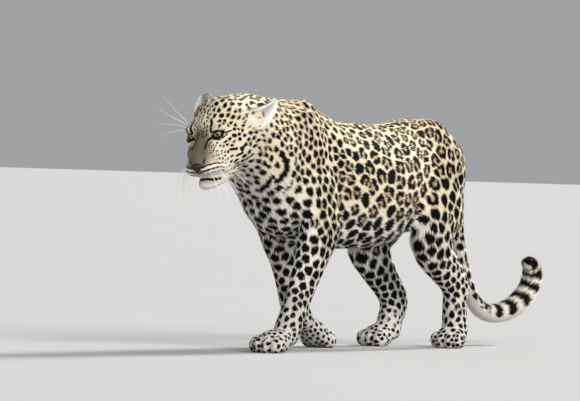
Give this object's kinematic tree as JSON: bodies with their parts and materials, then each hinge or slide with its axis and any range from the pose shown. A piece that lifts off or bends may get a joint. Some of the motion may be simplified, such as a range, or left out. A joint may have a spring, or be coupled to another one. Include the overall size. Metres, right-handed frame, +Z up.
{
  "type": "leopard model",
  "caption": "Life-size still model of a spotted big cat in a slow walk, head lowered, tail hanging and hooked up at its end.",
  "frame": {"origin": "on the floor, under the middle of the bounding box", "axes": "+X from head to tail along the body, +Y to the animal's right, +Z up"},
  "size_m": [1.5525, 0.2699, 0.6552],
  "materials": {
    "coat": "short smooth fur, buff with near-black spots and rosettes",
    "pale_coat": "short pale fur of the feet with small dark spots",
    "nose_leather": "bare pebbled nose skin, slightly moist",
    "eye": "glossy eye with a pale golden iris"
  },
  "bodies": {
    "root": {"head": "coat", "neck": "coat", "chest": "coat", "hindquarters": "coat", "front_left_upper_arm": "coat", "front_left_forearm": "coat", "front_left_paw": "pale_coat", "front_right_upper_arm": "coat", "front_right_forearm": "coat", "front_right_paw": "pale_coat", "hind_left_thigh": "coat", "hind_left_shank": "coat", "hind_left_foot": "pale_coat", "hind_right_thigh": "coat", "hind_right_shank": "coat", "hind_right_foot": "pale_coat", "tail_1": "coat", "tail_2": "coat", "tail_3": "coat", "tail_4": "coat", "tail_5": "coat", "ear_left": "coat", "ear_right": "coat", "eye_left": "eye", "eye_right": "eye", "nose": "nose_leather"}
  },
  "joints": []
}
